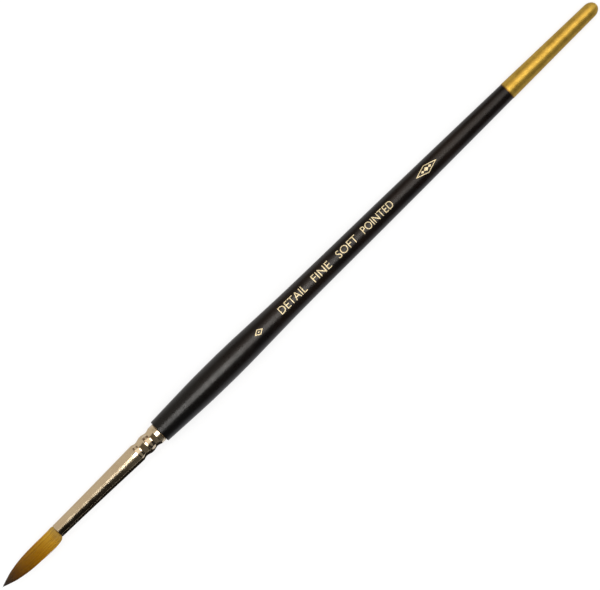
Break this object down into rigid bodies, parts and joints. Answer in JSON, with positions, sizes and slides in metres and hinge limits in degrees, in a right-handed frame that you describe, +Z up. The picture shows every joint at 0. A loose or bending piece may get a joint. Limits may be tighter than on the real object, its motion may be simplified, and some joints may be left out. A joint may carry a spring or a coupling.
{
  "type": "fine detail brush",
  "caption": "Slim round brush for fine detail: a pointed hair tuft in a crimped, tapered metal ferrule on a black lacquered wooden handle with a gold dipped end.",
  "frame": {"origin": "on the table under the middle of the brush, which lies as it is put down: on the belly of its handle and the edge of its gold dip", "axes": "+X along the brush from the hair to the end of the handle, dipping 0.8 degrees; +Z up; +Y to the side"},
  "size_m": [0.205, 0.0074, 0.0075],
  "materials": {
    "hair": "satin",
    "thread": "matte",
    "resin": "gloss",
    "nickel_plate": "polished",
    "glue": "satin",
    "wood": "matte",
    "black_lacquer": "satin",
    "gold_paint": "satin",
    "gold_foil": "satin"
  },
  "bodies": {
    "root": {"hair_tuft": "hair", "binding_thread": "thread", "root_resin_plug": "resin", "ferrule": "nickel_plate", "tenon_glue": "glue", "handle_core": "wood", "black_lacquer_coat": "black_lacquer", "gold_dip_coat": "gold_paint"}
  },
  "joints": []
}
